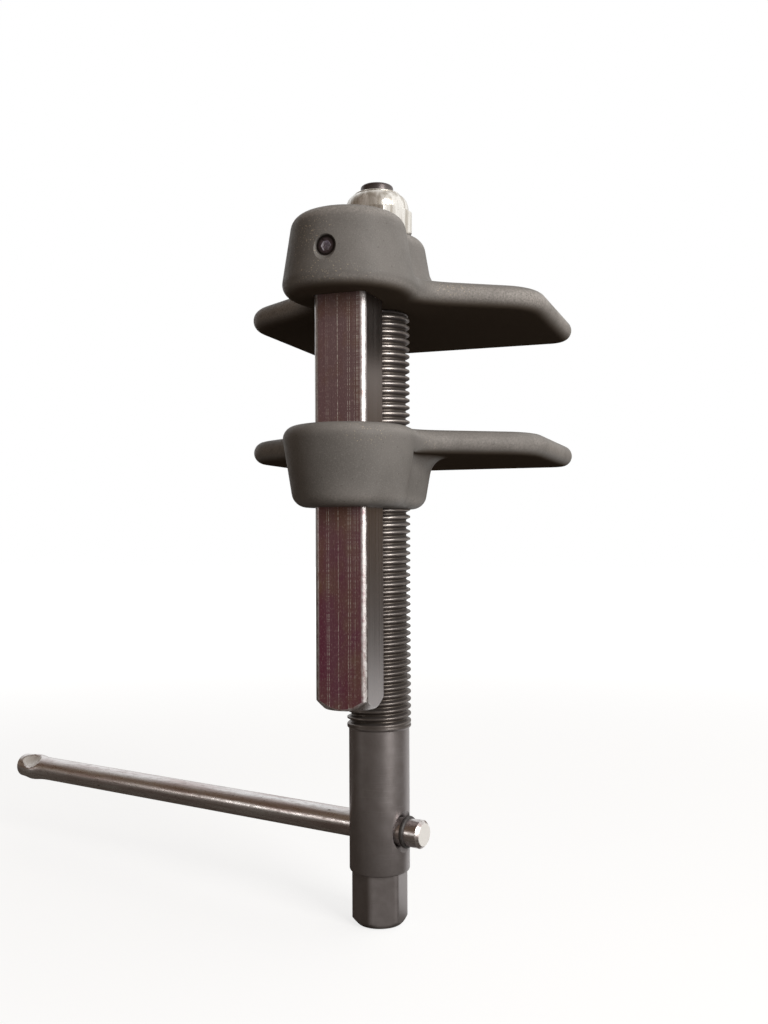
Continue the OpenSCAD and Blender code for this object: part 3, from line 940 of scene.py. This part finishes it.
def forging_finish():
    """Matt grey-brown conversion coat: clouds, grain, specks, and lighter metal on worn edges."""
    f = Finish("forging_phosphate")
    cloud = f.steps(f.noise(70, detail=3), 0.32, 0.68)
    grain = f.steps(f.noise(2400, detail=3, rough=0.7), 0.50, 0.80)
    pores = f.steps(f.noise(1700, detail=2, shift=(4, 8, 2)), 0.33, 0.25)
    dull_shaded_underside = f.mask("dull_shaded_underside")
    colour = f.mix(cloud, (0.152, 0.144, 0.136), (0.190, 0.180, 0.171))
    colour = f.mix(grain, colour, (0.250, 0.237, 0.226))
    colour = f.mix(pores, colour, (0.100, 0.090, 0.080))
    colour = f.mix(forging_rub(f), colour, (0.45, 0.42, 0.395))
    colour = f.mix(forging_specks(f), colour, (0.50, 0.43, 0.32))
    # Painted shade: the underside of the plate is darker and has no sheen.
    colour = f.mix(dull_shaded_underside, colour, (0.100, 0.080, 0.062))
    # Painted shadow: a dark ring in the bore around the set screw.
    colour = f.mix(bore_shadow_ring(f), colour, (0.030, 0.025, 0.022))
    rough = f.steps(f.noise(400, detail=3, shift=(1, 9, 4)), 0.3, 0.7, (0.42, 0.54))
    f.bump(f.noise(1300, detail=5, rough=0.6), 0.0001, 0.35)
    return f.done(colour, rough, 0.0, f.steps(dull_shaded_underside, 0, 1, (0.13, 0.0)))


phosphate = forging_finish()
for jaw in (upper, lower):
    paint(jaw, phosphate)

# %% [markdown]
# Drawn steel of the guide bar
# The bar is drawn through a die, which leaves fine lines along it. An oil film gives its front a purple
# cast with brown clouds, and the jaw scratches it in fine broken lines. A plain brushed metal would
# show none of this, so noise that is stretched along Z makes the lines and scratches. The front is less
# metallic than the sides, because the film covers it.

# %% Drawn steel
def bar_film(f):
    """Colour of the oil film: purple, redder towards the bottom, with clouds of brown."""
    oil = f.mix(f.mask("low"), (0.190, 0.122, 0.126), (0.150, 0.030, 0.062))
    clouds = f.noise(95, (1, 1, 0.7), detail=4, rough=0.65, shift=(6, 6, 3))
    return f.mix(f.steps(clouds, 0.42, 0.66, (0.0, 0.75)), oil, (0.185, 0.098, 0.062))


def bar_scratches(f):
    """Map of fine lines along Z, broken into dots and dashes."""
    dots = f.noise(1900, (0.05, 0.05, 0.8), detail=4, rough=0.75, shift=(0, 4, 2))
    lines = f.noise(2600, (1, 0.01, 0.0006), detail=1, shift=(7, 3, 0))
    return f.math("MULTIPLY", f.steps(lines, 0.59, 0.65), f.steps(dots, 0.44, 0.62, (0.08, 1.0)))


def bar_nicks(f):
    """Map of the broken corners, painted light as worn metal and as a painted highlight, dimmed by nicks."""
    nicks = f.noise(1400, (0.4, 0.4, 0.3), detail=4, rough=0.7, shift=(3, 7, 1))
    return f.math("MULTIPLY", f.mask("corner"), f.steps(nicks, 0.36, 0.62, (0.15, 1.0)))


def drawn_finish():
    """Metal with lines along Z, an oil film in front, flecks, pale scratches, and corners painted light as
    worn metal and highlight.
    """
    f = Finish("bar_drawn_steel")
    lines = f.noise(2600, (1, 1, 0.004), detail=3)
    streaks = f.noise(230, (1, 1, 0.06), detail=3, shift=(2, 5, 0))
    front = f.mask("front")
    tint = f.math("MULTIPLY", front, f.steps(streaks, 0.25, 0.70, (0.84, 1.0)))
    fleck = f.steps(f.noise(2600, (1, 1, 0.45), detail=3, rough=0.7, shift=(9, 2, 5)), 0.55, 0.72)
    worn_and_highlit = bar_nicks(f)
    colour = f.mix(f.steps(lines, 0.3, 0.7), (0.310, 0.288, 0.286), (0.405, 0.382, 0.378))
    colour = f.mix(tint, colour, bar_film(f))
    colour = f.mix(f.math("MULTIPLY", fleck, 0.55), colour, (0.55, 0.42, 0.41))
    colour = f.mix(bar_scratches(f), colour, (0.95, 0.90, 0.82))
    # The corners are painted lighter: partly worn metal, partly a painted highlight.
    colour = f.mix(worn_and_highlit, colour, (0.56, 0.545, 0.545))
    rough = f.math("MAXIMUM", f.steps(lines, 0.3, 0.7, (0.26, 0.38)), f.steps(worn_and_highlit, 0, 1, (0.0, 0.46)))
    f.bump(lines, 0.00003, 0.5)
    return f.done(colour, rough, f.steps(front, 0, 1, (1.0, 0.35)), 0.12)


paint(bar, drawn_finish())

# %% [markdown]
# Black oxide on the spindle
# The spindle is black oxide over turned steel: dark, satin, with fine rings from the lathe. A plain dark
# metal would look like plastic, so the rings are a noise squeezed along Z, and the masks show where the
# thread is polished, where dirt stays, and where the low turns get painted shade.

# %% Black oxide
def spindle_finish():
    """Dark coat with turning lines; crests are bright metal, roots and the point are dark, low turns painted
    shade.
    """
    f = Finish("spindle_oxide")
    cuts = f.noise(3200, (0.05, 0.05, 1), detail=2)
    cloud = f.noise(260, detail=5, rough=0.6)
    polish = f.steps(f.noise(500, detail=4, shift=(6, 1, 5)), 0.25, 0.65)
    colour = f.mix(f.steps(cloud, 0.35, 0.65), (0.250, 0.229, 0.229), (0.276, 0.256, 0.257))
    colour = f.mix(f.steps(cuts, 0.58, 0.86), colour, (0.310, 0.290, 0.290))
    # Dirt in the roots, and painted shade on the low turns.
    colour = f.mix(f.mask("root"), colour, (0.105, 0.090, 0.080))
    # Polished crests, dimmer on the low turns as painted shade.
    colour = f.mix(f.math("MULTIPLY", f.mask("crest"), polish), colour, (0.46, 0.42, 0.39))
    colour = f.mix(f.mask("point"), colour, (0.105, 0.088, 0.088))
    f.bump(cuts, 0.00001, 0.4)
    return f.done(colour, f.steps(cloud, 0.3, 0.7, (0.32, 0.38)), 0.72, 0.3)


paint(spindle, spindle_finish())

# %% [markdown]
# Plating on the T-bar
# The T-bar is plated and handled: bright along its length, with brown stains, blotches and small nicks
# where the plating is worn. Its lines run along the bar, so the coordinates are turned with it. The sawn
# ends and the dents are bare metal that scatters the light, so there the shader is hardly metallic.

# %% Plating on the T-bar
def handle_finish():
    """Bright plating with lines along the bar, brown stains, blotches and small dark nicks."""
    f = Finish("handle_plating")
    f.where = f.mapped(Rotation=(0, 0, -TURN))
    lines = f.noise(2600, (0.01, 1, 1), detail=3)
    stain = f.noise(420, (0.06, 1, 1), detail=4, rough=0.6, shift=(3, 1, 2))
    blotch = f.noise(900, (0.3, 1, 1), detail=5, rough=0.7, shift=(1, 4, 9))
    nick = f.steps(f.noise(1300, (0.25, 1, 1), detail=2, shift=(8, 5, 1)), 0.69, 0.75)
    sawn = f.mask("sawn")
    colour = f.mix(f.steps(lines, 0.3, 0.7), (0.70, 0.685, 0.685), (0.85, 0.835, 0.835))
    colour = f.mix(f.steps(stain, 0.40, 0.66, (0.0, 0.85)), colour, (0.470, 0.375, 0.365))
    colour = f.mix(f.steps(blotch, 0.50, 0.72, (0.0, 0.6)), colour, (0.36, 0.31, 0.30))
    colour = f.mix(nick, colour, (0.16, 0.132, 0.118))
    colour = f.mix(sawn, colour, (0.80, 0.79, 0.77))
    rough = f.math("MAXIMUM", f.steps(blotch, 0.35, 0.7, (0.24, 0.40)), f.steps(sawn, 0, 1, (0.0, 0.5)))
    f.bump(f.math("ADD", lines, blotch), 0.00004, 0.5)
    return f.done(colour, rough, f.steps(sawn, 0, 1, (1.0, 0.1)))


paint(handle, handle_finish())

# %% [markdown]
# Small pieces
# The nut is bright zinc with dark streaks along its axis, painted in as reflections of a dark room. The
# set screw is black oxide, with painted shade towards its rim and the inside of its socket painted pale
# as a glint. The stop ring is rubber and the nut's insert is nylon. The last three keep the shape of the
# CAD solids and only get a finish.

# %% Small pieces
def zinc_finish():
    """Bright zinc with dark streaks painted in as reflections of a dark room, and small dark pits."""
    f = Finish("nut_zinc")
    streak_and_reflection = f.noise(620, (1, 1, 0.05), detail=3, rough=0.6)
    pits = f.steps(f.noise(2100, detail=2, shift=(4, 4, 1)), 0.68, 0.74)
    # Painted reflection: the dark streaks stand in for a dark room mirrored in the zinc.
    colour = f.mix(f.steps(streak_and_reflection, 0.40, 0.60), (0.50, 0.47, 0.42), (0.90, 0.89, 0.86))
    colour = f.mix(pits, colour, (0.24, 0.21, 0.18))
    f.bump(streak_and_reflection, 0.00006, 0.5)
    return f.done(colour, f.steps(streak_and_reflection, 0.35, 0.65, (0.36, 0.20)), 0.62)


def screw_finish():
    """Black oxide with painted shade towards the rim, and the inside of the socket painted pale as a glint.
    """
    f = Finish("screw_black")
    cloud = f.noise(900, detail=4)
    face_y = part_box("bar_set_screw")[0][Y]
    deep = f.steps(f.depth(), face_y + 0.1 * MM, face_y + 0.4 * MM)
    socket = f.math("MULTIPLY", deep, f.steps(f.from_screw(), 1.8 * MM, 2.0 * MM, (1.0, 0.0)))
    colour = f.mix(f.steps(cloud, 0.35, 0.7), (0.075, 0.058, 0.068), (0.13, 0.105, 0.12))
    # Painted glint: the inside of the socket is pale.
    colour = f.mix(socket, colour, (0.80, 0.77, 0.83))
    # Painted shade: darker towards the rim of the screw.
    colour = f.mix(f.steps(f.from_screw(), 1.9 * MM, 2.6 * MM), colour, (0.022, 0.018, 0.018))
    f.bump(f.noise(3600, detail=3), 0.00003, 0.4)
    return f.done(colour, f.steps(cloud, 0.3, 0.7, (0.25, 0.4)), 0.6)


def soft_finish(name, dark, light, rough_range, scale):
    """Rubber or nylon: two shades in a fine cloud, with a matching roughness and a light bump."""
    f = Finish(name)
    cloud = f.noise(scale, detail=4)
    colour = f.mix(f.steps(cloud, 0.35, 0.7), dark, light)
    f.bump(f.noise(scale * 4, detail=3), 0.00003, 0.4)
    return f.done(colour, f.steps(cloud, 0.3, 0.7, rough_range), 0.0)


rubber = soft_finish("ring_rubber", (0.030, 0.027, 0.027), (0.065, 0.058, 0.058), (0.38, 0.55), 900)
nylon = soft_finish("insert_nylon", (0.60, 0.62, 0.64), (0.72, 0.73, 0.74), (0.4, 0.5), 500)
paint(nut, zinc_finish())
paint(nodes["bar_set_screw"], screw_finish())
paint(nodes["handle_ring"], rubber)
paint(nodes["lock_nut_insert"], nylon)

# %% [markdown]
# Room and background
# The tool stands in a dim, warm room with one bright patch of sky, high at the right and behind it. The
# camera and glass see plain white instead. Mirror rays see white only around one direction, the paper
# behind the tool, because metal that mirrored white on all sides would have no dark lines.

# %% Room and background
ROOM = (0.142, 0.098, 0.066, 1)
SKY = (0.95, 0.93, 0.90, 1)
WHITE = (1, 1, 1, 1)


def heading(azimuth, elevation):
    """Unit vector towards an azimuth, counted from X towards Y, and an elevation, in degrees."""
    a = math.radians(azimuth)
    e = math.radians(elevation)
    return (math.cos(e) * math.cos(a), math.cos(e) * math.sin(a), math.sin(e))


def sweep(n, way, middle, low, high):
    """1 around a middle direction: the cosine of the angle to it, stepped from low to high."""
    unit = n.vector("NORMALIZE", way).outputs["Vector"]
    return n.steps(n.vector("DOT_PRODUCT", unit, middle).outputs["Value"], low, high)


def sees_white(n, reach):
    """1 for camera and glass rays, and the reach of the white paper for mirror rays."""
    path = n.add("ShaderNodeLightPath").outputs
    straight = n.math("MAXIMUM", path["Is Camera Ray"], path["Is Transmission Ray"])
    return n.math("MAXIMUM", n.math("MULTIPLY", path["Is Glossy Ray"], reach), straight)


def make_world():
    """World of a dim room with a patch of sky, shown as white to the camera."""
    world = bpy.data.worlds.new("studio")
    world.use_nodes = True
    n = Nodes(world.node_tree)
    way = n.add("ShaderNodeTexCoord").outputs["Generated"]
    height = n.add("ShaderNodeSeparateXYZ", way).outputs["Z"]
    towards = n.vector("DOT_PRODUCT", way, heading(35, 35)).outputs["Value"]
    patch = n.math("MULTIPLY", n.steps(towards, 0.45, 0.85), n.steps(height, 0.12, 0.28))
    shades = n.add("ShaderNodeValToRGB", patch)
    shades.color_ramp.elements[0].color = ROOM
    shades.color_ramp.elements[1].color = SKY
    room = n.tree.nodes["Background"]
    n.link(shades.outputs["Color"], room.inputs["Color"])
    room.inputs["Strength"].default_value = 1.0
    white = n.add("ShaderNodeBackground", WHITE, 1.0)
    paper = sees_white(n, sweep(n, way, heading(132, 30), 0.66, 0.98))
    n.link(n.blend(paper, room.outputs[0], white.outputs[0]), n.tree.nodes["World Output"].inputs["Surface"])
    return world


scene.world = make_world()
print("world nodes:", len(scene.world.node_tree.nodes))

# %% [markdown]
# Floor
# For the camera the floor is pale paper, which keeps the tool's soft shadow and fades into the white
# background without a line. For the light on the tool it is a dull warm table, so that it throws no
# white light up from below. Mirror rays see the paper in a sweep, and only near the tool.

# %% Floor
FLOOR_HALF = 4.0
FLOOR_Z = -3e-4
PAPER_GLOW = 1.18


def floor_mesh():
    """One flat quad under the tool."""
    mesh = bpy.data.meshes.new("floor")
    corners = [(x * FLOOR_HALF, y * FLOOR_HALF, FLOOR_Z) for x, y in ((-1, -1), (1, -1), (1, 1), (-1, 1))]
    mesh.from_pydata(corners, [], [(0, 1, 2, 3)])
    return mesh


def floor_finish():
    """Dull table for the light, and paper that fades into white for the camera."""
    f = Finish("floor_pale")
    f.shader.inputs["Base Color"].default_value = (0.12, 0.105, 0.092, 1)
    f.shader.inputs["Roughness"].default_value = 0.9
    pale = f.add("ShaderNodeBsdfDiffuse", (0.85, 0.85, 0.85, 1))
    glow = f.add("ShaderNodeEmission", WHITE, PAPER_GLOW)
    far = f.vector("LENGTH", f.where).outputs["Value"]
    fade = f.steps(far, 0.1, 1.5, (0.66, 1.0), interpolation_type="SMOOTHSTEP")
    paper = f.blend(fade, pale.outputs[0], glow.outputs[0])
    near = f.steps(far, 0.5, 0.8, (1.0, 0.0))
    reach = f.math("MULTIPLY", sweep(f, f.where, heading(75, 0), 0.72, 0.95), near)
    both = f.blend(sees_white(f, reach), f.shader.outputs[0], paper)
    f.link(both, f.tree.nodes["Material Output"].inputs["Surface"])
    return f.mat


floor = bpy.data.objects.new("floor", floor_mesh())
scene.collection.objects.link(floor)
paint(floor, floor_finish())

# %% [markdown]
# Lamps
# One softbox at the front right is the key light: it turns the round parts from light to dark. A small
# low strip at the front left draws the bright line along the T-bar. Area lamps are used because their
# size sets how soft a highlight is.

# %% Lamps
MIDDLE = np.array([0, 0, 0.13])
LAMP_AWAY = 1.0
LAMP_COLOUR = (1, 0.98, 0.95)


def softbox(name, azimuth, elevation, width, height, watts):
    """Rectangular area lamp that faces the middle of the tool from a direction in degrees."""
    data = bpy.data.lights.new(name, "AREA")
    data.shape = "RECTANGLE"
    data.size = width
    data.size_y = height
    data.energy = watts
    data.color = LAMP_COLOUR
    box = bpy.data.objects.new(name, data)
    box.location = MIDDLE + LAMP_AWAY * np.array(heading(azimuth, elevation))
    box.rotation_euler = (math.radians(90 - elevation), 0, math.radians(azimuth + 90))
    scene.collection.objects.link(box)
    print("lamp", name, "at", [round(v, 2) for v in box.location])


softbox("key", -31, 18, 0.42, 0.75, 9.2)
softbox("low_strip", -141, 1, 0.22, 0.10, 0.42)

# %% [markdown]
# Camera
# The camera stands where the photograph was taken from: level with the middle of the tool, 0.36 m away
# and 19.6 degrees to the right of the guide bar. It looks level, so that upright lines stay upright,
# and a shift of the lens moves the picture. Its focal length is in pixels of a picture 1024 high.

# %% Camera
AZIMUTH = math.radians(19.6)
EYE_Z = 0.1323
AWAY = 0.362
ASIDE = 0.00193
FOCAL_PX = 1050
IMAGE_H = 1024
HORIZON_DOWN = 25
ROLL = math.radians(0.25)
lens = bpy.data.cameras.new("camera")
lens.sensor_width = 36
lens.lens = lens.sensor_width * FOCAL_PX / IMAGE_H
lens.shift_y = HORIZON_DOWN / IMAGE_H
lens.clip_start = 0.01
eye = bpy.data.objects.new("camera", lens)
eye_x = ASIDE * math.cos(AZIMUTH) + AWAY * math.sin(AZIMUTH)
eye_y = ASIDE * math.sin(AZIMUTH) - AWAY * math.cos(AZIMUTH)
eye.location = (eye_x, eye_y, EYE_Z)
eye.rotation_euler = (math.pi / 2, ROLL, AZIMUTH)
scene.collection.objects.link(eye)
scene.camera = eye
scene.view_settings.view_transform = "Standard"
print("camera at", [round(v, 3) for v in eye.location], "lens", round(lens.lens, 2), "mm")
